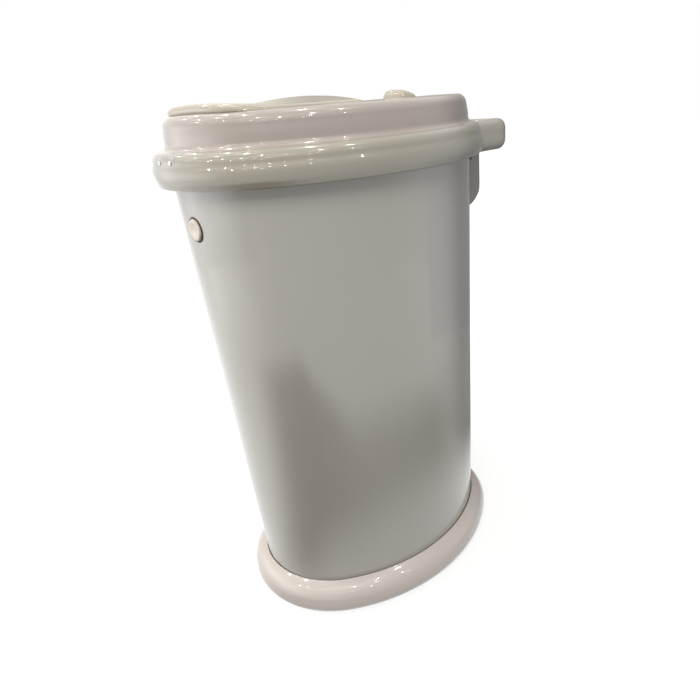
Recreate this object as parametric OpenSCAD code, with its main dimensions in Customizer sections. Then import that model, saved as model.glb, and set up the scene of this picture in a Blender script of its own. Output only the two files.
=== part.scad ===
// Oval nappy bin: steel body on a flared base ring, hinged lid with a rear carry loop,
// push-button latch at the front, and a sliding door in the top that runs under a hood.
// Millimetres. +Z is up, the front (button side) faces -Y, and the floor is at z = 0.

/* [Oval body] */
// Half length of the oval at the top of the steel body, front to rear
oval_half_length = 129; // [120:1:138]
// Half width of the oval at the top of the steel body
oval_half_width = 99; // [94:1:104]
// Height of the steel body's foot, where it stands on the base ring's ledge
body_foot_z = 8; // [7:0.5:10]
// Height of the steel body's top edge
body_top_z = 384; // [360:1:410]
// How far the oval draws in, on each side, from the body's top to its foot
body_taper = 7; // [4:0.5:9]
// Thickness of the sheet steel
steel_t = 1; // [0.8:0.1:1.2]

/* [Base] */
// How far the base ring stands out past the body's top outline
ring_overhang = 8.5; // [7:0.5:10]
// Height of the base ring's widest line
ring_wide_z = 8.5; // [8:0.5:9.5]
// Height of the base ring's inner top edge
ring_top_z = 31.5; // [29:0.5:34]
// Wall of the base ring
ring_wall = 2.6; // [2:0.1:3]
// Width of the ledge that carries the steel body
ledge_w = 18; // [17:0.5:22]
// Thickness of that ledge
ledge_t = 3; // [2.5:0.5:4]
// Radius of a rubber foot
foot_r = 7; // [5:0.5:7.5]
// Thickness of the floor pan
pan_t = 1.2; // [1:0.1:1.5]
// Height of the floor pan's turned-up edge
pan_lip_h = 14; // [8:1:20]

/* [Rim] */
// Thickness of the rim frame's flange, on top of the steel edge
flange_t = 4; // [3:0.5:5]
// Reach of the rim frame's flange inwards
flange_reach = 20; // [19:0.5:22]
// Depth of the rim frame's skirt inside the steel
skirt_h = 16; // [12:1:18]
// Wall of the rim frame's skirt
skirt_wall = 2.4; // [2:0.1:3]
// Height of the upstand that the bag ring hooks over
upstand_h = 8; // [6:0.5:9]
// Height of the rim gasket
gasket_h = 2.7; // [2.2:0.1:3]
// Width of the rim gasket
gasket_w = 3.5; // [3:0.5:4]

/* [Lid] */
// How far the lid's collar stands out past the body
collar_overhang = 12; // [11:0.5:14]
// Height of the collar band
collar_h = 23.5; // [21:0.5:26]
// Gap between the collar's lower edge and the body's top edge, measured downwards
collar_drop = 3.3; // [2:0.1:4]
// Wall of the collar
collar_wall = 2.5; // [2:0.1:3]
// Radius along the collar's top edge
collar_round = 4; // [3:0.5:5]
// Height of the cover's wall above the collar
cover_h = 20.8; // [19.5:0.1:23]
// Wall of the cover
cover_wall = 2.5; // [2:0.1:3]
// Radius along the cover's top edge
cover_round = 8; // [6:0.5:9]
// Number of lid screws on each side
lid_screws_side = 3; // [2:1:4]

/* [Carry loop] */
// Reach of the carry loop behind the collar
loop_reach = 40.5; // [36:0.5:44]
// Half width of the carry loop
loop_half_w = 51; // [48:0.5:56]
// Thickness of the loop's bar, seen from above
loop_bar = 14; // [12:0.5:15]
// Height of the loop's bar
loop_h = 27.5; // [25:0.5:28.5]
// Radius of the loop's plan corners, at the middle of the bar
loop_corner = 12; // [10:0.5:20]
// Radius along the bar's outer edges
loop_round = 6; // [4:0.5:6.5]

/* [Sliding door] */
// Half width of the door's visible plate
door_half_w = 57.5; // [54:0.5:58]
// Thickness of the door
door_t = 4; // [3.5:0.5:5]
// How far the door slides forwards, under the hood
door_travel = 70; // [60:1:72]
// Width of the flange that holds the door down, on each side
door_flange = 3; // [2:0.5:3.5]
// Distance from the oval's centre to the front edge of the mouth
mouth_front_y = 32; // [30:0.5:36]
// How far the mouth's sides lie inside the door's edge
mouth_inset = 7.5; // [7.2:0.1:11]
// Distance from the door's rear edge to the middle of the grip
grip_from_rear = 19.5; // [18.5:0.5:22]
// Half width of the grip
grip_half_w = 14; // [12:0.5:22]
// Length of the grip, front to rear
grip_l = 27; // [24:0.5:30]
// Height of the grip above the door
grip_h = 8.2; // [6:0.1:10]

/* [Hood] */
// Height of the hood's crown above the lid's deck
hood_rise = 7.2; // [6.5:0.1:9]
// Height of the hood's edge above the deck
hood_edge = 3.4; // [3:0.1:4]
// Half width of the hood
hood_half_w = 62; // [61:0.5:66]
// Distance from the oval's centre to the hood's rear lip, negative towards the front
hood_lip_y = -14; // [-16:0.5:-10]
// Wall of the hood
hood_wall = 2; // [1.8:0.1:2.2]

/* [Hinge] */
// Half width of the hinge housing
hinge_half_w = 44; // [38:0.5:46]
// How far the hinge housing stands out behind the body
hinge_depth = 13.5; // [12:0.5:15]
// Distance from the body's rear face to the hinge axis
axis_out = 6.5; // [6.3:0.1:7]
// Height of the hinge axis below the body's top edge
axis_drop = 20; // [19:0.5:22]
// Radius of the hinge pin
pin_r = 2.5; // [2:0.1:3]
// Width of a hinge arm
arm_w = 10; // [8:0.5:12]
// Distance from the middle plane to the middle of a hinge arm
arm_x = 17; // [16:0.5:18]
// Thickness of the hinge leaf
leaf_t = 2.5; // [2:0.1:2.8]

/* [Latch] */
// Radius of the push button
button_r = 7.8; // [7:0.1:10]
// Height of the button's middle below the body's top edge
button_drop = 31; // [29:0.5:34]
// How far the button stands out of the steel
button_proud = 1; // [0.5:0.1:2]
// Travel of the button
button_travel = 3.2; // [2.8:0.1:3.4]
// Width of the latch bar
bar_w = 13; // [10:0.5:14]

/* [Fits] */
// Clearance between pieces that are fitted together
fit = 0.3; // [0.2:0.05:0.4]
// Radial clearance of a running pin
run = 0.08; // [0.05:0.01:0.1]
// Radius of the screws' shanks
screw_r = 2; // [1.6:0.1:2.2]

/* [Hidden] */
$fn = 96;
eps = 0.01;
past = 5;

// Four-arc oval: two end arcs and two side arcs that meet on common tangents.
// The line through the arcs' centres, where they meet, slopes as 3 to 4.
slope = [4, 3];
centre_gap = (oval_half_length - oval_half_width) * 5 / 2;
end_centre = centre_gap * 3 / 5;
side_centre = centre_gap * 4 / 5;
oval_end_radius = oval_half_length - end_centre;
side_radius = oval_half_width + side_centre;
arc_angle = atan2(slope[1], slope[0]);

// The frame's origin is under the middle of the whole bin, carry loop included
frame_shift_y = -loop_reach / 2;

// Heights, from the floor up
collar_low_z = body_top_z - collar_drop;
collar_top_z = collar_low_z + collar_h;
deck_top_z = collar_top_z + cover_h;
deck_low_z = deck_top_z - cover_wall;
flange_top_z = body_top_z + flange_t;
upstand_top_z = flange_top_z + upstand_h;
ledge_low_z = body_foot_z - ledge_t;
land_z = flange_top_z + gasket_h + fit;

// Distances outwards from the oval, inwards where negative
gasket_u = -9.5;
upstand_wall = 2.4;
upstand_u = -flange_reach + upstand_wall;
bag_ring_wall = 2.1;
bag_ring_top_z = upstand_top_z + bag_ring_wall;
liner_t = 2.5;
liner_step_u = gasket_u - gasket_w;
liner_roof_z = bag_ring_top_z + 0.9 + liner_t;
collar_in_u = collar_overhang - collar_wall;
cover_u = -0.5;
cover_in_u = cover_u - cover_wall;
ledge_in_u = -8;
screw_u = -4.9;
boss_r = screw_r * 1.75;
boss_hole_h = 9;
lid_head_r = screw_r * 1.5;
lid_head_h = 1.6;
screw_spread = 50;
screw_angles = [for (i = [0 : lid_screws_side - 1]) screw_spread * (2 * i / (lid_screws_side - 1) - 1)];

// Base
ring_in_u = body_u(ring_top_z) + 0.5;
ring_low_z = 1.5;
foot_u = ring_in_u - ledge_w / 2 + 0.06;
foot_angles = [55, 125];
foot_plug_r = 2.5;
base_screw_angles = [-20, 20];
base_screw_ends = [90];

// Hinge
axis_y = oval_half_length + axis_out;
axis_z = body_top_z - axis_drop;
loop_low_z = collar_top_z - loop_h;
knuckle_r = loop_low_z - axis_z - 0.5;
eye_r = pin_r + 3.5;
hinge_rear_y = oval_half_length + hinge_depth;
hinge_bow_r = 27.5;
hinge_bow_z = axis_z - 7;
hinge_inner_y = oval_half_length - 14;
leaf_y = axis_y - 3.3;
leaf_low_z = body_top_z - 1;
leaf_top_z = collar_top_z - collar_wall - 1;
leaf_half_w = arm_x + arm_w / 2 + 1.5;
leaf_screw_z = flange_top_z + 9.5;
knuckle_slot_r = knuckle_r + 0.5;
pin_end_wall = 4;
hinge_screw_x = hinge_half_w - 14;
hinge_screw_zs = [axis_z - 5, axis_z - 20];
screw_start_y = oval_half_length - 20;
hinge_corner = 8;
backplate_half_w = hinge_screw_x + 8;
backplate_low_z = axis_z - 27;
backplate_top_z = axis_z + 1;
backplate_t = 1.5;
backplate_u = -steel_t - 0.15;

// Latch
button_z = body_top_z - button_drop;
front_y = -oval_half_length;
sleeve_wall = 0.6;
sleeve_r = button_r + fit + sleeve_wall;
housing_front_y = front_y + 6.5;
housing_back_y = front_y + 22;
housing_half_w = bar_w / 2 + 5.5;
ear_w = 6.5;
ear_t = 4;
housing_low_z = button_z - 14.5;
plate_front_y = housing_front_y + 2.3;
plate_t = 2.5;
bar_front_y = front_y + 2.5;
bar_t = 2.8;
nose_low_z = flange_top_z + 7;
nose_h = 3;
keeper_t = 2.7;
keeper_half_w = 12;
keeper_screw_x = 8;
keeper_back_y = -end_y(keeper_half_w, collar_in_u) + 0.2;
keeper_head_y = keeper_back_y + 2.2;
keeper_top_z = nose_low_z - fit;
latch_screw_x = housing_half_w + ear_w / 2;
latch_screw_z = body_top_z - 7;
keeper_screw_r = screw_r * 0.75;
keeper_screw_z = keeper_top_z + 4;
bar_low_z = body_top_z - skirt_h + 2;
bar_web_h = 10;
housing_wall = 2;
spring_wire = 0.9;
spring_mean_r = 4;
spring_turns = 4;

// Sliding door and its tray
door_top_z = deck_top_z - 0.7;
door_low_z = door_top_z - door_t;
flange_plate_t = 1.6;
tray_floor_z = door_low_z - 1.3;
tray_floor_t = 2;
tray_wall = 2;
mouth_half_w = door_half_w - mouth_inset;
grip_y = end_centre + door_half_w - grip_from_rear;
door_edge_w = door_half_w + door_flange;
cut_half_w = door_half_w + fit + 0.2;
tray_half_w = door_edge_w + fit + 0.2;
door_front_y = -30;
tray_front_y = door_front_y - door_travel - door_flange - 1;
door_corner = 32;
throat_wall = 2;
throat_low_z = liner_roof_z - liner_t;
tray_stop = 3;
glide_x = door_half_w - 1.3;
glide_ys = [door_front_y + door_corner, end_centre];
glide_r = 3;
glide_stem_r = 1.6;
grip_peg_r = 2;
grip_peg_x = grip_half_w / 2;
grip_peg_y = grip_y + 2;

// Hood
hood_front_u = -13;
hood_corner = 42;
hood_crown_y = -58;

// Colours
steel_paint = [0.66, 0.65, 0.62];
ring_colour = [0.82, 0.79, 0.78];
lid_colour = [0.62, 0.61, 0.56];
cover_colour = [0.66, 0.62, 0.60];
hood_colour = [0.73, 0.70, 0.63];
dark_plastic = [0.22, 0.22, 0.23];
rubber = [0.12, 0.12, 0.12];
bare_steel = [0.72, 0.73, 0.75];

// Outline of the steel body's outer face at a height, as a distance from the oval
function body_u(z) = -body_taper * (body_top_z - z) / (body_top_z - body_foot_z);

// Distance of the oval, grown by u, from the middle plane's cross line at half width x
function end_y(x, u) = end_centre + sqrt((oval_end_radius + u) ^ 2 - x ^ 2);

// Point of the oval, grown by u, at an angle round an end arc's centre
function end_point(a, u) = [
    (oval_end_radius + u) * cos(a),
    end_centre + (oval_end_radius + u) * sin(a)
];

// Point of the oval, grown by u, at an angle round a side arc's centre
function side_point(a, u) = [
    (side_radius + u) * cos(a) - side_centre,
    (side_radius + u) * sin(a)
];

// Place of a lid screw on the end arc at either end of the +X side
function corner_point(a) = [end_point(a, screw_u)[0], sign(a) * end_point(abs(a), screw_u)[1]];

// Carries a piece from the oval's own axis into the bin's frame
module in_frame() {
    translate([0, frame_shift_y, 0]) children();
}

// Sweeps a profile round the oval: profile x is the distance outwards, profile y the height
module oval_sweep() {
    x = 100 * slope[0];
    y = 100 * slope[1];
    for (side = [-1, 1]) {
        intersection() {
            translate([-side * side_centre, 0, 0]) rotate_extrude() translate([side_radius, 0]) children();
            wedge([-side * side_centre, 0], [side * x, -y], [side * x, y]);
        }
        intersection() {
            translate([0, side * end_centre, 0]) rotate_extrude() translate([oval_end_radius, 0]) children();
            wedge([0, side * end_centre], [x, side * y], [-x, side * y]);
        }
    }
}

// Three-cornered prism from a corner point and two edge directions, taller than the bin
module wedge(corner, edge_a, edge_b) {
    translate([0, 0, -50]) linear_extrude(600) polygon([corner, corner + edge_a, corner + edge_b]);
}

// Rectangle in a profile, from its corners
module box2(u0, u1, z0, z1) {
    translate([u0, z0]) square([u1 - u0, z1 - z0]);
}

// Block from its corners
module box3(x0, x1, y0, y1, z0, z1) {
    translate([x0, y0, z0]) cube([x1 - x0, y1 - y0, z1 - z0]);
}

// Full oval plate out to u, from z0 to z1
module oval_plate(u, z0, z1) {
    core_u = -30;
    core_in = -45;
    union() {
        oval_sweep() box2(core_in, u, z0, z1);
        translate([0, 0, z0]) linear_extrude(z1 - z0) polygon([
            for (a = [0, 180]) for (p = [
                side_point(0, core_u), side_point(arc_angle, core_u),
                end_point(90, core_u),
                end_point(180 - arc_angle, core_u)
            ]) [cos(a) * p[0], cos(a) * p[1]]
        ]);
    }
}

// Solid out to the steel body's outer face, used to fit pieces against it
module body_solid(z0, z1) {
    oval_sweep() polygon([
        [-60, z0], [body_u(z0), z0], [body_u(z1), z1], [-60, z1]
    ]);
}

// Rod along +Y from y0 to y1
module rod_y(x, z, r, y0, y1) {
    translate([x, y0, z]) rotate([-90, 0, 0]) cylinder(r = r, h = y1 - y0);
}

// Rod along +X, from x0 to x1, on the hinge axis unless told otherwise
module rod_x(r, x0, x1, y = axis_y, z = axis_z) {
    translate([x0, y, z]) rotate([0, 90, 0]) cylinder(r = r, h = x1 - x0);
}

// Places at angles round the side arcs and round the end arcs, on both sides
module round_oval(u, side_angles, end_angles) {
    for (turn = [0, 180]) rotate([0, 0, turn]) {
        for (a = side_angles) translate(side_point(a, u)) children();
        for (a = end_angles) translate(end_point(a, u)) children();
    }
}

module at_feet() {
    round_oval(foot_u, [0], foot_angles) children();
}

module at_base_screws() {
    round_oval(foot_u, base_screw_angles, base_screw_ends) children();
}

// Plan of the door and what it runs in: straight sides, a round rear, rounded front corners
module door_plan(half_w, front_y, corner) {
    translate([0, end_centre]) circle(half_w);
    translate([-half_w, front_y + corner]) square([2 * half_w, end_centre - front_y - corner]);
    translate([-half_w + corner, front_y]) square([2 * (half_w - corner), corner + 1]);
    for (side = [-1, 1]) translate([side * (half_w - corner), front_y + corner]) circle(corner);
}

/* ---- Base ---- */

// Outer face of the base ring, drawn inwards by a wall where needed
module ring_profile(inset) {
    drop = ring_top_z - ring_wide_z;
    span = ring_overhang - ring_in_u;
    bow_r = (span ^ 2 + drop ^ 2) / (2 * span);
    toe_r = ring_wide_z - ring_low_z;
    intersection() {
        translate([ring_overhang - bow_r, ring_wide_z]) circle(bow_r - inset);
        box2(ring_in_u, ring_overhang + 1, ring_wide_z, ring_top_z + 1);
    }
    intersection() {
        translate([ring_overhang - toe_r, ring_wide_z]) circle(toe_r - inset);
        box2(ring_overhang - toe_r, ring_overhang + 1, -1, ring_wide_z + eps);
    }
    box2(ring_in_u, ring_overhang - toe_r + eps, ring_low_z + inset, ring_wide_z + eps);
}

module base_ring() {
    color(ring_colour) in_frame() difference() {
        union() {
            oval_sweep() union() {
                difference() {
                    ring_profile(0);
                    ring_profile(ring_wall);
                    box2(ring_in_u - ledge_w, ring_overhang - 5.5, -1, ring_low_z + ring_wall + eps);
                }
                box2(ring_in_u, ring_in_u + ring_wall, ledge_low_z, ring_top_z - 1.5);
                box2(ring_in_u - ledge_w, ring_in_u + ring_wall, ledge_low_z, body_foot_z);
            }
        }
        at_feet() translate([0, 0, -1]) cylinder(r = foot_plug_r + run, h = body_foot_z + 2);
        at_base_screws() translate([0, 0, -1]) cylinder(r = screw_r + run, h = body_foot_z + 2);
    }
}

module rubber_feet() {
    chamfer = 1.2;
    color(rubber) in_frame() at_feet() union() {
        cylinder(r1 = foot_r - chamfer / 2, r2 = foot_r, h = chamfer);
        translate([0, 0, chamfer]) cylinder(r = foot_r, h = ledge_low_z - chamfer);
        translate([0, 0, ledge_low_z - eps]) cylinder(r = foot_plug_r, h = ledge_t - fit);
    }
}

module base_screws() {
    head_h = 2.2;
    slot_w = 1;
    color(bare_steel) in_frame() at_base_screws() union() {
        translate([0, 0, ledge_low_z - head_h]) difference() {
            cylinder(r = screw_r * 2, h = head_h);
            for (turn = [0, 90]) rotate([0, 0, turn])
                translate([-screw_r, -slot_w / 2, -slot_w]) cube([2 * screw_r, slot_w, 2 * slot_w]);
        }
        translate([0, 0, ledge_low_z - eps]) cylinder(r = screw_r, h = ledge_t + pan_t + 3);
    }
}

module floor_pan() {
    pan_u = body_u(body_foot_z) - steel_t - fit * 2 / 3;
    color(bare_steel) in_frame() difference() {
        union() {
            oval_plate(pan_u, body_foot_z, body_foot_z + pan_t);
            oval_sweep() box2(pan_u - pan_t, pan_u, body_foot_z, body_foot_z + pan_lip_h);
        }
        at_base_screws() translate([0, 0, body_foot_z - 1]) cylinder(r = screw_r + run, h = pan_t + 2);
    }
}

/* ---- Steel body and rim ---- */

module body_shell() {
    color(steel_paint) in_frame() difference() {
        oval_sweep() polygon([
            [body_u(body_foot_z) - steel_t, body_foot_z],
            [body_u(body_foot_z), body_foot_z],
            [0, body_top_z],
            [-steel_t, body_top_z]
        ]);
        rod_y(0, button_z, sleeve_r + 0.1, front_y - past, front_y + past);
        for (side = [-1, 1]) for (z = hinge_screw_zs)
            rod_y(side * hinge_screw_x, z, screw_r + run, screw_start_y, oval_half_length + past);
    }
}

module rim_frame() {
    skirt_u = body_u(body_top_z - skirt_h) - steel_t - 2 * fit;
    color(dark_plastic) in_frame() difference() {
        oval_sweep() union() {
            box2(-flange_reach, 2, body_top_z, flange_top_z);
            box2(skirt_u - skirt_wall, skirt_u, body_top_z - skirt_h, body_top_z + eps);
            box2(-flange_reach, upstand_u, flange_top_z - eps, upstand_top_z);
        }
        box3(-bar_w / 2 - 1, bar_w / 2 + 1, bar_front_y - 0.6, plate_front_y + button_travel - 0.9,
            body_top_z - skirt_h - 1, flange_top_z + 1);
        for (side = [-1, 1])
            rod_y(side * latch_screw_x, latch_screw_z, screw_r + run, front_y, housing_front_y);
    }
}

module rim_gasket() {
    color(rubber) in_frame() oval_sweep() union() {
        box2(gasket_u - gasket_w, gasket_u, flange_top_z, flange_top_z + gasket_h / 2);
        box2(gasket_u - gasket_w * 3 / 4, gasket_u - gasket_w / 4, flange_top_z, flange_top_z + gasket_h);
    }
}

module bag_ring() {
    in_u = -flange_reach - fit - bag_ring_wall;
    out_u = upstand_u + fit + bag_ring_wall;
    color(cover_colour) in_frame() oval_sweep() union() {
        box2(in_u, out_u, upstand_top_z, bag_ring_top_z);
        box2(in_u, in_u + bag_ring_wall, body_top_z + fit, bag_ring_top_z);
        box2(out_u - bag_ring_wall, out_u, flange_top_z + 3, bag_ring_top_z);
    }
}

/* ---- Hinge ---- */

module hinge_outline() {
    translate([axis_y, axis_z]) intersection() {
        circle(knuckle_r);
        box2(-knuckle_r - 1, hinge_rear_y - axis_y, 0, knuckle_r + 1);
    }
    box2(hinge_inner_y, hinge_rear_y, hinge_bow_z, axis_z);
    box2(hinge_inner_y, axis_y, axis_z - eps, axis_z + knuckle_r * 0.6);
    intersection() {
        translate([hinge_rear_y - hinge_bow_r, hinge_bow_z]) circle(hinge_bow_r);
        box2(hinge_inner_y, hinge_rear_y + 1, hinge_bow_z - hinge_bow_r, hinge_bow_z + eps);
    }
}

// Plan of the hinge housing: its rear corners run a little past the flat rear face
module hinge_plan() {
    rear_y = hinge_rear_y + 0.5;
    corner_x = hinge_half_w - hinge_corner;
    box2(-hinge_half_w, hinge_half_w, screw_start_y, rear_y - hinge_corner);
    box2(-corner_x, corner_x, screw_start_y, rear_y);
    for (side = [-1, 1]) translate([side * corner_x, rear_y - hinge_corner]) circle(hinge_corner);
}

module hinge_housing() {
    color(lid_colour) in_frame() difference() {
        intersection() {
            translate([-hinge_half_w, 0, 0]) rotate([90, 0, 90])
                linear_extrude(2 * hinge_half_w) hinge_outline();
            translate([0, 0, hinge_bow_z - hinge_bow_r - past])
                linear_extrude(axis_z + knuckle_r + 2 * past - hinge_bow_z + hinge_bow_r) hinge_plan();
        }
        body_solid(hinge_bow_z - hinge_bow_r - past, body_top_z);
        for (side = [-1, 1]) {
            rod_x(knuckle_slot_r, side * arm_x - arm_w / 2 - fit, side * arm_x + arm_w / 2 + fit);
            for (z = hinge_screw_zs)
                rod_y(side * hinge_screw_x, z, screw_r, screw_start_y, oval_half_length + past);
        }
        rod_x(pin_r + run, -hinge_half_w - 1, hinge_half_w - pin_end_wall);
    }
}

module hinge_pin() {
    color(bare_steel) in_frame() rod_x(pin_r, -hinge_half_w + pin_end_wall, hinge_half_w - pin_end_wall);
}

module hinge_backplate() {
    z0 = backplate_low_z;
    z1 = backplate_top_z;
    color(bare_steel) in_frame() difference() {
        intersection() {
            oval_sweep() polygon([
                [body_u(z0) + backplate_u - backplate_t, z0], [body_u(z0) + backplate_u, z0],
                [body_u(z1) + backplate_u, z1], [body_u(z1) + backplate_u - backplate_t, z1]
            ]);
            box3(-backplate_half_w, backplate_half_w, end_centre, oval_half_length, z0, z1);
        }
        for (side = [-1, 1]) for (z = hinge_screw_zs)
            rod_y(side * hinge_screw_x, z, screw_r + run, screw_start_y, oval_half_length + past);
    }
}

module hinge_screws() {
    head_y = end_y(hinge_screw_x + 1.8 * screw_r, body_u(backplate_low_z) + backplate_u - backplate_t);
    color(bare_steel) in_frame() for (side = [-1, 1]) for (z = hinge_screw_zs) union() {
        rod_y(side * hinge_screw_x, z, screw_r * 1.8, head_y - screw_r, head_y);
        rod_y(side * hinge_screw_x, z, screw_r, head_y - eps, oval_half_length + past - 1);
    }
}

module hinge_leaf() {
    color(bare_steel) in_frame() difference() {
        union() {
            box3(-leaf_half_w, leaf_half_w, leaf_y, leaf_y + leaf_t, leaf_low_z, leaf_top_z);
            for (side = [-1, 1]) {
                box3(side * arm_x - arm_w / 2, side * arm_x + arm_w / 2,
                    leaf_y, leaf_y + leaf_t, axis_z, leaf_low_z + 1);
                rod_x(eye_r, side * arm_x - arm_w / 2, side * arm_x + arm_w / 2);
            }
        }
        rod_x(pin_r + run, -hinge_half_w, hinge_half_w);
        for (side = [-1, 1])
            rod_y(side * arm_x, leaf_screw_z, screw_r + run, leaf_y - 1, leaf_y + leaf_t + 1);
    }
}

module leaf_screws() {
    color(bare_steel) in_frame() for (side = [-1, 1]) union() {
        rod_y(side * arm_x, leaf_screw_z, screw_r * 1.5, leaf_y - screw_r, leaf_y);
        rod_y(side * arm_x, leaf_screw_z, screw_r, leaf_y - eps, end_y(arm_x, collar_in_u) + 1);
    }
}

/* ---- Latch ---- */

module latch_housing() {
    ear_low_z = latch_screw_z - 4.5;
    color(dark_plastic) in_frame() difference() {
        union() {
            box3(-housing_half_w, housing_half_w, housing_front_y, housing_back_y,
                housing_low_z, body_top_z);
            rod_y(0, button_z, sleeve_r, front_y + 0.3, housing_front_y + 1);
            box3(-housing_half_w - ear_w, housing_half_w + ear_w, housing_front_y, housing_front_y + ear_t,
                ear_low_z, body_top_z);
        }
        rod_y(0, button_z, button_r + fit, front_y - past, housing_front_y + past);
        box3(-bar_w / 2 - 3, bar_w / 2 + 3, housing_front_y + housing_wall, housing_back_y - housing_wall,
            housing_low_z + housing_wall, body_top_z + 1);
        box3(-bar_w / 2 - 1, bar_w / 2 + 1, housing_front_y - 1, housing_front_y + housing_wall + 1,
            body_top_z - skirt_h - 2, body_top_z + 1);
        for (side = [-1, 1])
            rod_y(side * latch_screw_x, latch_screw_z, screw_r + run, front_y, housing_front_y + past);
    }
}

module latch_screws() {
    head_y = housing_front_y + ear_t;
    color(bare_steel) in_frame() for (side = [-1, 1]) union() {
        rod_y(side * latch_screw_x, latch_screw_z, screw_r * 1.4, head_y, head_y + 1.6);
        rod_y(side * latch_screw_x, latch_screw_z, screw_r, front_y + 3.4, head_y + eps);
    }
}

// Shallow dished cap on a short stem
module release_button() {
    dish_r = 18;
    dish_depth = 0.9;
    color(hood_colour) in_frame() difference() {
        union() {
            rod_y(0, button_z, button_r, front_y - button_proud + 1.2, plate_front_y - 0.1);
            translate([0, front_y - button_proud, button_z]) rotate([-90, 0, 0])
                cylinder(r1 = button_r - 1.2, r2 = button_r, h = 1.2 + eps);
        }
        translate([0, front_y - button_proud - dish_r + dish_depth, button_z]) sphere(r = dish_r);
        rod_y(0, button_z, button_r - 2.5, front_y + 3, plate_front_y + 1);
    }
}

module latch_bar() {
    color(dark_plastic) in_frame() union() {
        box3(-bar_w / 2 - 2, bar_w / 2 + 2, plate_front_y, plate_front_y + plate_t,
            housing_low_z + 2 * housing_wall, bar_low_z + bar_web_h);
        box3(-bar_w / 2, bar_w / 2, bar_front_y, plate_front_y + plate_t, bar_low_z, bar_low_z + bar_web_h);
        box3(-bar_w / 2, bar_w / 2, bar_front_y, bar_front_y + bar_t, bar_low_z, nose_low_z + nose_h);
        box3(-bar_w / 2, bar_w / 2, bar_front_y - 3, bar_front_y + 0.1, nose_low_z, nose_low_z + nose_h);
        rod_y(0, button_z, 2 * spring_wire, plate_front_y - 2, plate_front_y + plate_t + 3);
    }
}

module latch_spring() {
    y0 = plate_front_y + plate_t;
    y1 = housing_back_y - housing_wall;
    pitch = (y1 - y0 - 2 * spring_wire) / (spring_turns - 1);
    color(bare_steel) in_frame() for (i = [0 : spring_turns - 1])
        translate([0, y0 + spring_wire + i * pitch, button_z]) rotate([-90, 0, 0])
            rotate_extrude() translate([spring_mean_r, 0]) circle(spring_wire);
}

module latch_keeper() {
    color(bare_steel) in_frame() difference() {
        union() {
            box3(-keeper_half_w, keeper_half_w, keeper_back_y, bar_front_y - 0.7,
                keeper_top_z - keeper_t, keeper_top_z);
            box3(-keeper_half_w, keeper_half_w, keeper_back_y, keeper_head_y,
                keeper_top_z - keeper_t, collar_top_z - collar_wall);
        }
        for (side = [-1, 1])
            rod_y(side * keeper_screw_x, keeper_screw_z, keeper_screw_r + run,
                keeper_back_y - past, keeper_back_y + past);
    }
}

module keeper_screws() {
    color(bare_steel) in_frame() for (side = [-1, 1]) union() {
        rod_y(side * keeper_screw_x, keeper_screw_z, screw_r * 1.3, keeper_head_y, keeper_head_y + 1.5);
        rod_y(side * keeper_screw_x, keeper_screw_z, keeper_screw_r,
            -end_y(keeper_screw_x, collar_in_u) - 1.2, keeper_head_y + eps);
    }
}

/* ---- Lid ---- */

// Lid screws stand round both sides, clear of the hinge and the latch
module at_lid_screws() {
    for (turn = [0, 180]) rotate([0, 0, turn]) for (a = screw_angles)
        translate(abs(a) <= arc_angle ? side_point(a, screw_u) : corner_point(a)) children();
}

// Collar band: outer skirt and the ledge that the cover stands on
module collar_profile() {
    lip_r = collar_wall - 0.4;
    difference() {
        union() {
            box2(collar_in_u - 3, collar_overhang, collar_low_z + lip_r, collar_top_z - collar_round);
            box2(collar_in_u - 3, collar_overhang - lip_r, collar_low_z, collar_top_z - collar_round);
            translate([collar_overhang - lip_r, collar_low_z + lip_r]) circle(lip_r);
            box2(ledge_in_u, collar_overhang - collar_round, collar_top_z - collar_round - 2, collar_top_z);
            translate([collar_overhang - collar_round, collar_top_z - collar_round]) circle(collar_round);
        }
        box2(-60, collar_in_u, collar_low_z - 1, collar_top_z - collar_wall);
    }
}

// Cross section of the carry loop's bar, upright, with its middle at x = 0
module loop_bar_profile() {
    half = loop_bar / 2;
    for (side = [-1, 1]) for (z = [loop_low_z + loop_round, collar_top_z - loop_round])
        translate([side * (half - loop_round), z]) circle(loop_round);
    box2(-half + loop_round, half - loop_round, loop_low_z, collar_top_z);
    box2(-half, half, loop_low_z + loop_round, collar_top_z - loop_round);
}

module carry_loop() {
    leg_x = loop_half_w - loop_bar / 2;
    end_bar_y = oval_half_length + collar_overhang + loop_reach - loop_bar / 2;
    corner_y = end_bar_y - loop_corner;
    leg_start_y = oval_half_length - 12;
    for (side = [-1, 1]) {
        translate([side * leg_x, leg_start_y, 0]) rotate([-90, 0, 0]) mirror([0, 1, 0])
            linear_extrude(corner_y - leg_start_y) loop_bar_profile();
        translate([side * (leg_x - loop_corner), corner_y, 0]) rotate([0, 0, side > 0 ? 0 : 90])
            rotate_extrude(angle = 90) translate([loop_corner, 0]) loop_bar_profile();
    }
    translate([-leg_x + loop_corner, end_bar_y, 0]) rotate([90, 0, 90])
        linear_extrude(2 * (leg_x - loop_corner)) loop_bar_profile();
}

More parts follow.
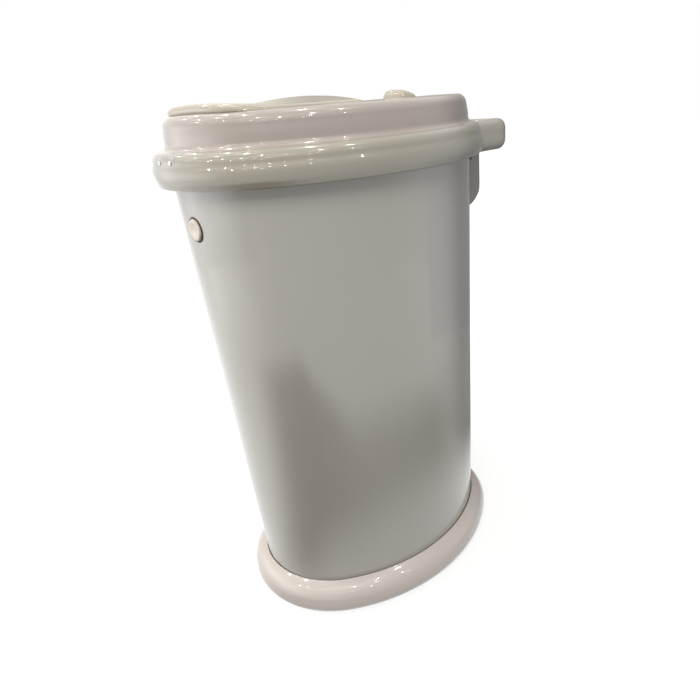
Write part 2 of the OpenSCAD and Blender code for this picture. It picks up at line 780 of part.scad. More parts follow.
module lid_frame() {
    boss_low_z = land_z + liner_t;
    color(lid_colour) in_frame() difference() {
        union() {
            oval_sweep() collar_profile();
            difference() {
                carry_loop();
                oval_sweep() box2(-60, collar_in_u, loop_low_z - past, collar_top_z + past);
            }
            intersection() {
                oval_sweep() box2(-20, collar_in_u + 1, leaf_screw_z - arm_w / 2, collar_top_z - 1);
                union() for (side = [-1, 1])
                    box3(side * arm_x - arm_w / 2, side * arm_x + arm_w / 2, leaf_y + leaf_t,
                        oval_half_length + collar_overhang, leaf_screw_z - arm_w / 2, collar_top_z - 1);
            }
            at_lid_screws() translate([0, 0, boss_low_z])
                cylinder(r = boss_r, h = collar_top_z - 1 - boss_low_z);
        }
        at_lid_screws() translate([0, 0, boss_low_z - 1]) cylinder(r = screw_r + run, h = collar_h);
        for (side = [-1, 1]) {
            rod_y(side * arm_x, leaf_screw_z, screw_r, leaf_y, end_y(arm_x, collar_in_u) + 1 + eps);
            rod_y(side * keeper_screw_x, keeper_screw_z, keeper_screw_r,
                -end_y(keeper_screw_x, collar_in_u) - 1.2, keeper_back_y + past);
        }
    }
}

// Cover: upright wall, rounded edge and the deck, cut out for the door
module lid_cover() {
    r_in = cover_round - cover_wall;
    color(cover_colour) in_frame() difference() {
        union() {
            oval_sweep() difference() {
                union() {
                    box2(cover_in_u, cover_u, collar_top_z, deck_top_z - cover_round);
                    translate([cover_u - cover_round, deck_top_z - cover_round]) circle(cover_round);
                    box2(-40, cover_u - cover_round, deck_low_z, deck_top_z);
                }
                translate([cover_u - cover_round, deck_top_z - cover_round]) circle(r_in);
                box2(-40, cover_in_u, collar_top_z - 1, deck_top_z - cover_round);
                box2(-40, cover_u - cover_round, deck_top_z - 2 * cover_round - 1, deck_low_z);
            }
            oval_plate(-20, deck_low_z, deck_top_z);
            at_lid_screws() translate([0, 0, collar_top_z])
                cylinder(r = boss_r, h = deck_top_z - cover_round + 2.5 - collar_top_z);
        }
        translate([0, 0, deck_low_z - 1]) linear_extrude(cover_wall + 2)
            door_plan(cut_half_w, tray_front_y, door_corner);
        at_lid_screws() translate([0, 0, collar_top_z - 1]) cylinder(r = screw_r, h = boss_hole_h);
    }
}

module lid_screws() {
    color(bare_steel) in_frame() at_lid_screws() union() {
        translate([0, 0, land_z]) cylinder(r = lid_head_r, h = lid_head_h);
        translate([0, 0, land_z + lid_head_h - eps])
            cylinder(r = screw_r, h = collar_top_z + boss_hole_h - 1.5 - land_z - lid_head_h);
    }
}

// Liner: closes the lid underneath, lands on the gasket and holds the throat
module lid_liner() {
    color(cover_colour) in_frame() difference() {
        union() {
            oval_sweep() union() {
                box2(liner_step_u, 1.5, land_z, land_z + liner_t);
                box2(liner_step_u, liner_step_u + liner_t, land_z, liner_roof_z);
            }
            oval_plate(liner_step_u + 1, liner_roof_z - liner_t, liner_roof_z);
        }
        translate([0, 0, liner_roof_z - liner_t - 1]) linear_extrude(liner_t + 2)
            mouth_plan(throat_wall + fit);
        at_lid_screws() translate([0, 0, land_z - 1]) {
            cylinder(r = lid_head_r + 0.2, h = lid_head_h + 1 + 0.1);
            cylinder(r = screw_r + run, h = collar_h);
        }
        box3(-bar_w / 2 - 1, bar_w / 2 + 1, front_y - past, bar_front_y + bar_t + button_travel + 0.5,
            land_z - 1, land_z + liner_t + 1);
        box3(-keeper_half_w - 1, keeper_half_w + 1, front_y - past, bar_front_y - 0.2,
            land_z - 1, land_z + liner_t + 1);
        box3(-leaf_half_w - 1, leaf_half_w + 1, leaf_y - 0.5, leaf_y + past,
            land_z - 1, land_z + liner_t + 1);
    }
}

// Plan of the mouth, grown outwards
module mouth_plan(grow) {
    half_w = mouth_half_w + grow;
    difference() {
        union() {
            translate([0, end_centre]) circle(half_w);
            translate([-half_w, mouth_front_y - grow])
                square([2 * half_w, end_centre - mouth_front_y + grow]);
        }
        translate([-half_w - 1, mouth_front_y - grow - half_w]) square([2 * half_w + 2, half_w]);
    }
}

// Tray: the channel that the door runs in, with the throat hanging from it
module door_tray() {
    color(cover_colour) in_frame() difference() {
        union() {
            translate([0, 0, tray_floor_z - tray_floor_t])
                linear_extrude(deck_low_z - tray_floor_z + tray_floor_t)
                door_plan(tray_half_w + tray_wall, tray_front_y - tray_stop - tray_wall,
                    door_corner + tray_stop + tray_wall);
            translate([0, 0, throat_low_z]) linear_extrude(tray_floor_z - throat_low_z)
                mouth_plan(throat_wall);
        }
        translate([0, 0, tray_floor_z]) linear_extrude(20)
            door_plan(tray_half_w, tray_front_y - tray_stop, door_corner + tray_stop);
        translate([0, 0, throat_low_z - 1]) linear_extrude(deck_top_z - throat_low_z) mouth_plan(0);
    }
}

module mouth_seal() {
    color(rubber) in_frame() translate([0, 0, tray_floor_z]) difference() {
        linear_extrude(door_low_z - tray_floor_z - fit) mouth_plan(2.8);
        translate([0, 0, -1]) linear_extrude(door_t) mouth_plan(1);
    }
}

// Hood: crowned shell over the front of the deck, open at its rear lip
module hood_plan(inset) {
    front_y = -end_y(0, hood_front_u) + inset;
    half_w = hood_half_w - inset;
    lip_y = hood_lip_y + (inset > 0 ? past : 0);
    translate([-half_w, front_y + hood_corner]) square([2 * half_w, lip_y - front_y - hood_corner]);
    translate([-half_w + hood_corner, front_y]) square([2 * (half_w - hood_corner), hood_corner + 1]);
    for (side = [-1, 1]) translate([side * (half_w - hood_corner), front_y + hood_corner])
        circle(hood_corner);
}

module hood_dome(drop) {
    rise = hood_rise - hood_edge;
    dome_r = (hood_half_w ^ 2 + rise ^ 2) / (2 * rise);
    translate([0, hood_crown_y, deck_top_z + hood_rise - drop - dome_r]) sphere(r = dome_r);
}

module hood() {
    color(hood_colour) in_frame() difference() {
        intersection() {
            translate([0, 0, deck_top_z]) linear_extrude(hood_rise + 1) hood_plan(0);
            hood_dome(0);
        }
        intersection() {
            translate([0, 0, deck_top_z - 1]) linear_extrude(hood_rise + 2) hood_plan(hood_wall);
            hood_dome(hood_wall);
        }
    }
}

/* ---- Door ---- */

module sliding_door() {
    scoop_r = 46;
    scoop_depth = 2.2;
    scoop_ahead = 12;
    color(cover_colour) in_frame() difference() {
        union() {
            translate([0, 0, door_low_z]) linear_extrude(door_t)
                door_plan(door_half_w, door_front_y, door_corner);
            translate([0, 0, door_low_z]) linear_extrude(flange_plate_t)
                door_plan(door_edge_w, door_front_y - door_flange, door_corner + door_flange);
        }
        translate([0, grip_y - grip_l / 2 - scoop_ahead, door_top_z + scoop_r - scoop_depth])
            sphere(r = scoop_r);
        for (side = [-1, 1]) for (y = glide_ys)
            translate([side * glide_x, y, door_low_z - 1]) cylinder(r = glide_stem_r + run, h = 2.5);
        for (side = [-1, 1])
            translate([side * grip_peg_x, grip_peg_y, door_low_z - 1])
                cylinder(r = grip_peg_r + run, h = door_t + 2);
    }
}

module door_glides() {
    color([0.93, 0.93, 0.91]) in_frame() for (side = [-1, 1]) for (y = glide_ys)
        translate([side * glide_x, y, 0]) union() {
            translate([0, 0, tray_floor_z + 0.05])
                cylinder(r = glide_r, h = door_low_z - tray_floor_z - 0.05);
            translate([0, 0, door_low_z - eps]) cylinder(r = glide_stem_r, h = 1.4);
        }
}

// Grip: steep on its front face, falling gently to the rear
module grip_side_profile() {
    nose_r = 5;
    front = -grip_l / 2;
    tail_r = (grip_l ^ 2 + grip_h ^ 2) / (2 * grip_h);
    intersection() {
        translate([front + nose_r, grip_h - tail_r]) circle(tail_r);
        translate([front, 0]) square([grip_l + 5, grip_h]);
        union() {
            translate([front + nose_r, grip_h - nose_r]) circle(nose_r);
            translate([front + nose_r, 0]) square([grip_l, grip_h]);
            translate([front, 0]) square([nose_r, grip_h - nose_r]);
        }
    }
}

module door_grip() {
    color(hood_colour) in_frame() union() {
        translate([-grip_half_w, grip_y, door_top_z]) intersection() {
            rotate([90, 0, 90]) linear_extrude(2 * grip_half_w) grip_side_profile();
            translate([grip_half_w, 0, 0]) linear_extrude(grip_h + 1) grip_plan();
        }
        for (side = [-1, 1])
            translate([side * grip_peg_x, grip_peg_y, door_low_z + fit]) cylinder(r = grip_peg_r, h = door_t);
    }
}

module grip_plan() {
    round_r = 8;
    for (side = [-1, 1]) for (y = [-grip_l / 2 + round_r, grip_l / 2 - round_r])
        translate([side * (grip_half_w - round_r), y]) circle(round_r);
    square([2 * (grip_half_w - round_r), grip_l], center = true);
    square([2 * grip_half_w, grip_l - 2 * round_r], center = true);
}

body_shell();
floor_pan();
base_ring();
rubber_feet();
base_screws();
rim_frame();
rim_gasket();
bag_ring();
hinge_housing();
hinge_backplate();
hinge_pin();
hinge_screws();
latch_housing();
latch_screws();
release_button();
latch_bar();
latch_spring();
lid_frame();
lid_cover();
hood();
lid_liner();
door_tray();
mouth_seal();
latch_keeper();
keeper_screws();
hinge_leaf();
leaf_screws();
lid_screws();
sliding_door();
door_grip();
door_glides();
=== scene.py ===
# Oval nappy bin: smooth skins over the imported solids, their materials, the studio and the camera.
# Lengths are metres unless a name or comment says mm; the profiles below are written in mm.
import math

import bmesh
import bpy
from mathutils import Matrix, Vector


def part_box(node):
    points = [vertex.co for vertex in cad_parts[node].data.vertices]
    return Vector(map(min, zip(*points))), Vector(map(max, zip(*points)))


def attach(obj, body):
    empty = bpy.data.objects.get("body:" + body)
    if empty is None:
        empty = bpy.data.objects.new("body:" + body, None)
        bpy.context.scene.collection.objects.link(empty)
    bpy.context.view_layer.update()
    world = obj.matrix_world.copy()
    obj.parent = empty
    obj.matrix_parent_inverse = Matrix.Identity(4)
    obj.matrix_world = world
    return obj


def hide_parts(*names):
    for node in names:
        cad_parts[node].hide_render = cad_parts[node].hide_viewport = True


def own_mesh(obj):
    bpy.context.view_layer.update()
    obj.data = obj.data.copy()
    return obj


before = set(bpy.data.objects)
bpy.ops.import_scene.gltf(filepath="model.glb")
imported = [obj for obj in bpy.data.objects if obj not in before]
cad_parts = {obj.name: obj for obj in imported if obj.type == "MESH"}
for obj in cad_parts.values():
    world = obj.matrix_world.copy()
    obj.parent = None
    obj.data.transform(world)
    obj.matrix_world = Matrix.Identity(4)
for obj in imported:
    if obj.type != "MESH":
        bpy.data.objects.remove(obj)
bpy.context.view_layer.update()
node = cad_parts

# ---- The bin's own sizes, in mm, from the oval's axis ----
MM = 0.001
SHIFT_Y = -20.25  # from the oval's axis to the frame's origin
# the plan is an oval of four arcs: how far the arcs' centres lie off the axis, and their radii
END_C, SIDE_C = 45.0, 60.0
END_R, SIDE_R = 84.0, 159.0
ARC = math.atan2(3, 4)
SIDE_STEPS, END_STEPS = 44, 60
FRONT_Y = -129.0

FOOT_Z, TOP_Z, TAPER = 8.0, 384.0, 7.0
BODY_WALL = 1.0
COLLAR_LOW, COLLAR_TOP = 380.7, 404.2
DECK_TOP, COVER_U = 425.0, -0.5
BUTTON_Z, BUTTON_R, HOLE_R = 353.0, 7.8, 8.8
HOOD_HALF_W, HOOD_LIP_Y = 62.0, -14.0
# half width, front edge and front corner radius of the deck's opening, the door and the door's flange
OPENING = (58.0, -104.0, 32.0)
DOOR = (57.5, -30.0, 32.0)
FLANGE = (60.5, -33.0, 35.0)
DOOR_TOP, FLANGE_TOP, FLANGE_LOW = 424.3, 421.9, 420.3
GRIP_Y, GRIP_TOP = 83.0, 432.45
GRIP_HALF_W, GRIP_HALF_L = 14.0, 13.5

# ---- Light levels ----
# the floor beside the bin, and the world for rays that aren't seen directly
FLOOR_GLOW, WORLD_GREY = 0.82, (0.41, 0.405, 0.40, 1)
WHITE = (1, 1, 1, 1)
# extra light of the left screen, as gloss sees it
LEFT_GLOW = 1.1
SCREEN_TOP = 0.85


# ---- Camera ----
def add_camera():
    yaw, pitch, roll = 0.8196, 0.4677, -0.082
    forward = Vector((-math.sin(yaw) * math.cos(pitch), math.cos(yaw) * math.cos(pitch),
                      -math.sin(pitch)))
    level_right = Vector((math.cos(yaw), math.sin(yaw), 0))
    level_up = level_right.cross(forward)
    right = level_right * math.cos(roll) + level_up * math.sin(roll)
    up = -level_right * math.sin(roll) + level_up * math.cos(roll)
    data = bpy.data.cameras.new("camera")
    data.sensor_width = 36.0
    data.lens = 29.355
    data.shift_x, data.shift_y = -0.0802, 0.0532
    data.clip_start = 0.01
    cam = bpy.data.objects.new("camera", data)
    axes = Matrix((right, up, -forward)).transposed().to_4x4()
    cam.matrix_world = Matrix.Translation((0.39973, -0.33109, 0.42542)) @ axes
    bpy.context.scene.collection.objects.link(cam)
    bpy.context.scene.camera = cam


add_camera()


# ---- Mesh helpers ----
def to_object(name, bm):
    mesh = bpy.data.meshes.new(name)
    bm.to_mesh(mesh)
    bm.free()
    obj = bpy.data.objects.new(name, mesh)
    bpy.context.scene.collection.objects.link(obj)
    return obj


def finish_mesh(name, bm, mat, body, replaced):
    """Welds, smooths and places a mesh made in mm, and hands it to its body."""
    bmesh.ops.remove_doubles(bm, verts=bm.verts, dist=0.002)
    bmesh.ops.recalc_face_normals(bm, faces=bm.faces)
    for v in bm.verts:
        v.co = Vector((v.co.x, v.co.y + SHIFT_Y, v.co.z)) * MM
    for f in bm.faces:
        f.smooth = True
    obj = to_object(name, bm)
    obj.data.materials.append(mat)
    mod = obj.modifiers.new("weighted", "WEIGHTED_NORMAL")
    mod.weight = 80
    mod.keep_sharp = True
    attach(obj, body)
    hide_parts(*replaced)
    return obj


def add_rings(bm, rings, wrap=False):
    """Quads between rings of equally many points; wrap joins the last ring to the first."""
    rows = [[bm.verts.new(p) for p in ring] for ring in rings]
    count = len(rows[0])
    last = len(rows) if wrap else len(rows) - 1
    for i in range(last):
        a, b = rows[i], rows[(i + 1) % len(rows)]
        for j in range(count):
            k = (j + 1) % count
            bm.faces.new((a[j], a[k], b[k], b[j]))
    return rows


def add_tube(bm, rings):
    """Rings joined in order, with the first and the last closed by a face."""
    rows = add_rings(bm, rings)
    bm.faces.new(rows[0])
    bm.faces.new(rows[-1])


def circle(cx, y, cz, r, count):
    """Upright circle that faces along y."""
    turns = [2 * math.pi * i / count for i in range(count)]
    return [Vector((cx + r * math.cos(t), y, cz + r * math.sin(t))) for t in turns]


def rounded(corners, steps=6):
    """Closed outline from (x, y, radius) corners, in order, each corner rounded."""
    out = []
    for i, (x, y, r) in enumerate(corners):
        p = Vector((x, y))
        to_a = Vector(corners[i - 1][:2]) - p
        to_b = Vector(corners[(i + 1) % len(corners)][:2]) - p
        if r <= 0:
            out.append((x, y))
            continue
        half = to_a.angle(to_b) / 2
        t = min(r / math.tan(half), 0.49 * min(to_a.length, to_b.length))
        r = t * math.tan(half)
        to_a.normalize()
        to_b.normalize()
        c = p + (to_a + to_b).normalized() * (r / math.sin(half))
        s, e = p + to_a * t - c, p + to_b * t - c
        a0 = math.atan2(s.y, s.x)
        da = (math.atan2(e.y, e.x) - a0 + math.pi) % (2 * math.pi) - math.pi
        turns = [a0 + da * k / steps for k in range(steps + 1)]
        out += [(c.x + r * math.cos(a), c.y + r * math.sin(a)) for a in turns]
    return out


def oval_frames():
    """(centre x, centre y, radius, angle) of each step round the oval."""
    arcs = [(-SIDE_C, 0.0, SIDE_R, -ARC, ARC, SIDE_STEPS),
            (0.0, END_C, END_R, ARC, math.pi - ARC, END_STEPS),
            (SIDE_C, 0.0, SIDE_R, math.pi - ARC, math.pi + ARC, SIDE_STEPS),
            (0.0, -END_C, END_R, math.pi + ARC, 2 * math.pi - ARC, END_STEPS)]
    return [(cx, cy, r, a0 + (a1 - a0) * i / n) for cx, cy, r, a0, a1, n in arcs for i in range(n)]


FRAMES = oval_frames()


def on_oval(fr, u, z):
    """The point u mm outside the oval, at height z."""
    cx, cy, r, a = fr
    return Vector((cx + (r + u) * math.cos(a), cy + (r + u) * math.sin(a), z))


def sweep(bm, profile):
    """Sweeps a closed (u, z) profile round the oval."""
    add_rings(bm, [[on_oval(fr, u, z) for fr in FRAMES] for u, z in profile], wrap=True)


def crown(x, y):
    """How far the lid's deck is crowned above its flat solid."""
    return 1.7 - 1.6 * (x / 95.0) ** 2 - 0.9 * (y / 125.0) ** 2


def lifted(x, y, z):
    """Height of a point of the cover once the deck is crowned; the collar's top stays."""
    share = min(max((z - COLLAR_TOP) / (DECK_TOP - COLLAR_TOP), 0.0), 1.0)
    return z + crown(x, y) * share


def at_height(plan, height_of):
    """A plan's (x, y) points as a ring at the height that height_of gives each."""
    return [Vector((x, y, height_of(x, y))) for x, y in plan]


# ---- Plans of the lid's plates ----
def arc_points(cx, cy, r, a0, a1, n):
    turns = [math.radians(a0 + (a1 - a0) * i / n) for i in range(n)]
    return [(cx + r * math.cos(t), cy + r * math.sin(t)) for t in turns]


def line_points(x0, y0, x1, y1, n):
    return [(x0 + (x1 - x0) * i / n, y0 + (y1 - y0) * i / n) for i in range(n)]


def door_plan(half_w, front_y, corner):
    """Round rear, straight sides, rounded front corners, as a ring of points."""
    half_w = max(half_w, 0.05)
    corner = min(max(corner, 0.05), half_w)
    y1 = front_y + corner
    return (arc_points(0, END_C, half_w, 0, 180, 60)
            + line_points(-half_w, END_C, -half_w, y1, 20)
            + arc_points(-half_w + corner, y1, corner, 180, 270, 16)
            + line_points(-half_w + corner, front_y, half_w - corner, front_y, 12)
            + arc_points(half_w - corner, y1, corner, 270, 360, 16)
            + line_points(half_w, y1, half_w, END_C, 20))


def ray_to(outline, x, y):
    """Where the ray from the lid's middle through (x, y) meets an outline round it."""
    d = Vector((x, y)).normalized()
    for i in range(len(outline)):
        a = Vector(outline[i - 1])
        s = Vector(outline[i]) - a
        den = d.x * s.y - d.y * s.x
        if abs(den) < 1e-12:
            continue
        t = (a.x * s.y - a.y * s.x) / den
        k = (a.x * d.y - a.y * d.x) / den
        if t > 0 and -1e-9 <= k <= 1 + 1e-9:
            return d * t
    raise ValueError("the ray misses the outline")


# ---- Shader nodes ----
class Tree:
    """Short ways to add nodes to one node tree. A value is a node's output or a plain number."""

    def __init__(self, tree):
        self.nodes, self.link = tree.nodes, tree.links.new

    def add(self, kind):
        return self.nodes.new("ShaderNode" + kind)

    def feed(self, socket, value):
        if isinstance(value, bpy.types.NodeSocket):
            self.link(value, socket)
        else:
            socket.default_value = value

    def math(self, operation, first, *others):
        """The operation on first and the next value, then on that and the one after it."""
        for other in others:
            m = self.add("Math")
            m.operation = operation
            self.feed(m.inputs[0], first)
            self.feed(m.inputs[1], other)
            first = m.outputs[0]
        return first

    def ramp(self, value, lo, hi, out_lo, out_hi, curve="SMOOTHSTEP"):
        """out_lo up to lo, out_hi from hi on, and a smooth or LINEAR way between."""
        m = self.add("MapRange")
        m.interpolation_type = curve
        for key, v in (("From Min", lo), ("From Max", hi), ("To Min", out_lo), ("To Max", out_hi)):
            m.inputs[key].default_value = v
        self.link(value, m.inputs["Value"])
        return m.outputs["Result"]

    def turn_ramp(self, turn, lo, hi, out_lo, out_hi):
        """ramp by an angle round the bin, with its limits in degrees."""
        return self.ramp(turn, math.radians(lo), math.radians(hi), out_lo, out_hi)

    def mix(self, factor, a, b):
        """a where the factor is 0, going over to b where it is 1, for numbers."""
        m = self.add("Mix")
        m.data_type = "FLOAT"
        self.link(factor, m.inputs["Factor"])
        self.feed(m.inputs[2], a)
        self.feed(m.inputs[3], b)
        return m.outputs[0]

    def mix_colour(self, factor, a, b):
        m = self.add("Mix")
        m.data_type = "RGBA"
        self.link(factor, m.inputs["Factor"])
        self.feed(m.inputs[6], a)
        self.feed(m.inputs[7], b)
        return m.outputs[2]

    def split(self, vector):
        m = self.add("SeparateXYZ")
        self.link(vector, m.inputs["Vector"])
        return m.outputs

    def place(self):
        return self.add("TexCoord").outputs["Object"]

    def gloss_or_glass(self, path):
        return self.math("MAXIMUM", path["Is Glossy Ray"], path["Is Transmission Ray"])


def new_material(name):
    mat = bpy.data.materials.new(name)
    mat.use_nodes = True
    t = Tree(mat.node_tree)
    return mat, t, t.nodes["Principled BSDF"].inputs


# ---- Materials ----
def srgb(r, g, b):
    def lin(c):
        c /= 255.0
        return c / 12.92 if c <= 0.04045 else ((c + 0.055) / 1.055) ** 2.4
    return (lin(r), lin(g), lin(b), 1.0)


def shader(name, colour, rough, metallic=0.0, coat=0.0, coat_rough=0.1, coat_ior=1.5,
           mottle=0.04, mottle_scale=9.0, grain=0.15, grain_scale=900.0, grain_depth=0.00002,
           rough_spread=0.025, dust=0.0):
    """Gloss or matt finish with mottled colour, uneven gloss, fine grain and settled dust."""
    mat, t, bsdf = new_material(name)
    bsdf["Metallic"].default_value = metallic
    bsdf["Coat Weight"].default_value = coat
    bsdf["Coat Roughness"].default_value = coat_rough
    bsdf["Coat IOR"].default_value = coat_ior
    where = t.place()

    def noise(scale, detail, roughness=0.5):
        tex = t.add("TexNoise")
        tex.inputs["Scale"].default_value = scale
        tex.inputs["Detail"].default_value = detail
        tex.inputs["Roughness"].default_value = roughness
        t.link(where, tex.inputs["Vector"])
        return tex.outputs["Fac"]

    dark = tuple(c * (1 - 2.2 * mottle) for c in colour[:3]) + (1,)
    light = tuple(min(c * (1 + 1.6 * mottle), 1) for c in colour[:3]) + (1,)
    col = t.mix_colour(t.ramp(noise(mottle_scale, 4), 0.3, 0.7, 0, 1, "LINEAR"), dark, light)
    if dust:
        facing_up = t.ramp(t.split(t.add("NewGeometry").outputs["Normal"])["Z"], 0.6, 1.0, 0, 1, "LINEAR")
        settled = t.ramp(noise(140, 6, 0.7), 0.45, 0.75, 0, dust, "LINEAR")
        col = t.mix_colour(t.math("MULTIPLY", facing_up, settled), col, (0.72, 0.70, 0.67, 1))
    t.link(col, bsdf["Base Color"])
    t.link(t.ramp(noise(mottle_scale * 5, 5, 0.6), 0.3, 0.7, rough - rough_spread,
                  rough + rough_spread, "LINEAR"), bsdf["Roughness"])
    bump = t.add("Bump")
    bump.inputs["Strength"].default_value = grain
    bump.inputs["Distance"].default_value = grain_depth
    t.link(noise(grain_scale, 3), bump.inputs["Height"])
    t.link(bump.outputs["Normal"], bsdf["Normal"])
    return mat


LID_GLOSS = dict(coat=1.0, coat_rough=0.03, mottle=0.004, grain=0.25, grain_scale=1400.0,
                 grain_depth=0.00001, rough_spread=0.003)
paint = shader("powder_coat", srgb(154, 151, 143), 0.32, coat=1.0, coat_rough=0.05, coat_ior=1.75,
               mottle=0.006, grain=0.3, grain_scale=420.0, grain_depth=0.00010, rough_spread=0.008)
ring_plastic = shader("ring_plastic", srgb(186, 177, 170), 0.30, coat=1.0, coat_rough=0.05,
                      mottle=0.006, grain=0.25, grain_scale=1500.0, rough_spread=0.004)
lid_plastic = shader("lid_plastic", srgb(147, 143, 129), 0.26, **LID_GLOSS)
cover_plastic = shader("cover_plastic", srgb(158, 148, 140), 0.27, **LID_GLOSS)
hood_plastic = shader("hood_plastic", srgb(161, 153, 136), 0.27, **LID_GLOSS)
# the lid's plastic painted darker for the hinge housing: painted shade for where it sits in shade under the
# collar's rear
shaded_housing_plastic = shader("shaded_housing_plastic", srgb(122, 117, 108), 0.3, coat=0.5, coat_rough=0.05,
                         mottle=0.004, grain=0.25, grain_scale=1400.0, grain_depth=0.00001)
button_plastic = shader("button_plastic", srgb(207, 197, 182), 0.3, coat=0.3, mottle=0.03,
                        grain=0.2, grain_scale=1500.0, grain_depth=0.00003)
inner_plastic = shader("inner_plastic", (0.045, 0.045, 0.05, 1), 0.55, mottle=0.12,
                       mottle_scale=30, grain=0.5, grain_scale=1600.0, grain_depth=0.00008)
glide_plastic = shader("glide_plastic", (0.82, 0.82, 0.79, 1), 0.4, mottle=0.03)
rubber = shader("rubber", (0.025, 0.025, 0.025, 1), 0.75, mottle=0.2, mottle_scale=60,
                grain=0.5, grain_scale=1100.0, grain_depth=0.0001, dust=0.15)
galvanised = shader("galvanised", (0.5, 0.51, 0.53, 1), 0.42, metallic=1.0, mottle=0.16,
                    mottle_scale=90, rough_spread=0.14, grain=0.2, grain_scale=700.0)
zinc = shader("zinc", (0.62, 0.63, 0.66, 1), 0.28, metallic=1.0, mottle=0.08, mottle_scale=200,
              rough_spread=0.1, grain=0.2, grain_scale=1800.0)

FINISH = {
    paint: ["body_shell"],
    ring_plastic: ["base_ring"],
    lid_plastic: ["lid_frame"],
    shaded_housing_plastic: ["hinge_housing"],
    cover_plastic: ["lid_cover", "bag_ring", "lid_liner", "door_tray"],
    hood_plastic: ["hood", "sliding_door", "door_grip"],
    button_plastic: ["release_button"],
    inner_plastic: ["rim_frame", "latch_housing", "latch_bar"],
    glide_plastic: ["door_glides"],
    rubber: ["rubber_feet", "rim_gasket", "mouth_seal"],
    galvanised: ["floor_pan", "hinge_backplate", "hinge_leaf", "latch_keeper"],
    zinc: ["base_screws", "hinge_pin", "hinge_screws", "latch_screws", "latch_spring",
           "keeper_screws", "leaf_screws", "lid_screws"],
}
for finish, names in FINISH.items():
    for name in names:
        node[name].data.materials.clear()
        node[name].data.materials.append(finish)


# ---- Steel body, with the round hole for the button's sleeve ----
def body_u(z):
    return -TAPER * (TOP_Z - z) / (TOP_Z - FOOT_Z)


def build_body():
    bm = bmesh.new()
    # a patch of this height and half angle at the front carries the hole
    patch_low, patch_top, patch_turn = 336, 372, 0.19
    side_steps, in_steps = 10, 6
    zs = [8.0, 8.6, 11] + [20 + 20 * i for i in range(16)] + [patch_low, patch_top, 378, 383.4, 384.0]
    front = [i for i, fr in enumerate(FRAMES) if fr[1] < 0 and abs(fr[3] - 1.5 * math.pi) < patch_turn]
    a_lo, a_hi = FRAMES[front[0]][3], FRAMES[front[-1]][3]
    j_low, j_top = zs.index(patch_low), zs.index(patch_top)
    up = [patch_low + (patch_top - patch_low) * s / side_steps for s in range(1, side_steps)]
    down = [patch_top - (patch_top - patch_low) * s / side_steps for s in range(1, side_steps)]
    grids, holes = [], []
    for shell in (0.0, -BODY_WALL):
        grid = {}
        for i, fr in enumerate(FRAMES):
            for j, z in enumerate(zs):
                grid[i, j] = bm.verts.new(on_oval(fr, body_u(z) + shell, z))
        for i in range(len(FRAMES)):
            k = (i + 1) % len(FRAMES)
            for j in range(len(zs) - 1):
                if i in front[:-1] and j == j_low:
                    continue
                bm.faces.new((grid[i, j], grid[k, j], grid[k, j + 1], grid[i, j + 1]))
        # the patch: rings from its border, which shares the grid's vertices, in to the hole
        r0 = END_R + shell
        border = [(FRAMES[i][3], patch_low, grid[i, j_low]) for i in front]
        border += [(a_hi, z, None) for z in up]
        border += [(FRAMES[i][3], patch_top, grid[i, j_top]) for i in reversed(front)]
        border += [(a_lo, z, None) for z in down]
        rings = []
        for s in range(in_steps + 1):
            ring = []
            share = (s / in_steps) ** 0.8
            for a, z, v in border:
                if s == 0:
                    r = r0 + body_u(z)
                    ring.append(v or bm.verts.new((r * math.cos(a), -END_C + r * math.sin(a), z)))
                    continue
                d = Vector((r0 * math.cos(a), z - BUTTON_Z))
                h = d.normalized() * HOLE_R
                px, pz = d.x + (h.x - d.x) * share, d.y + (h.y - d.y) * share + BUTTON_Z
                r = r0 + body_u(pz)
                ring.append(bm.verts.new((px, -END_C - math.sqrt(r * r - px * px), pz)))
            rings.append(ring)
        for s in range(in_steps):
            for q in range(len(border)):
                p = (q + 1) % len(border)
                bm.faces.new((rings[s][q], rings[s][p], rings[s + 1][p], rings[s + 1][q]))
        grids.append(grid)
        holes.append(rings[-1])
    # the wall's edges: round the hole, at the foot and at the top
    for q in range(len(holes[0])):
        p = (q + 1) % len(holes[0])
        bm.faces.new((holes[0][q], holes[0][p], holes[1][p], holes[1][q]))
    for j in (0, len(zs) - 1):
        for i in range(len(FRAMES)):
            k = (i + 1) % len(FRAMES)
            bm.faces.new((grids[0][i, j], grids[0][k, j], grids[1][k, j], grids[1][i, j]))
    finish_mesh("body_skin", bm, paint, "bin", ["body_shell"])


# ---- Base ring ----
def build_base_ring():
    bm = bmesh.new()
    out_u, low, top, belly = 8.0, 1.5, 31.5, 12.0
    toe_r, wall = 7, 2.6
    in_u = body_u(top) + 0.5
    bow = ((out_u - in_u) ** 2 + (top - belly) ** 2) / (2 * (out_u - in_u))
    rise = [(out_u - bow + math.sqrt(bow ** 2 - (z - belly) ** 2), z)
            for z in (12, 14, 16.5, 19, 22.5, 25.5, 28, 29.6)]
    toe = [(out_u - toe_r + toe_r * math.cos(t), belly + (belly - low) * math.sin(t))
           for t in [math.radians(-90 + 7.5 * i) for i in range(12)]]
    lip = rounded([(in_u + 2.0, 29.9, 0), (in_u + 0.9, 31.4, 0.7), (in_u, 31.4, 0.4), (in_u, 28, 0)], 4)[1:]
    inner = [(in_u, 9), (in_u, 8), (in_u - 18, 8), (in_u - 18, 5), (in_u + 2.6, 5),
             (in_u + 2.6, 26.5), (in_u + 3.4, 26.5)]
    back = [(u - wall, z) for u, z in reversed(rise[:6])]
    foot = [(out_u - 2.8, 6.4), (out_u - 4.0, 4.8), (out_u - 6.0, 4.1), (out_u - toe_r, 4.1),
            (out_u - toe_r, low)]
    sweep(bm, toe + rise + lip + inner + back + foot)
    finish_mesh("base_ring_skin", bm, ring_plastic, "bin", ["base_ring"])


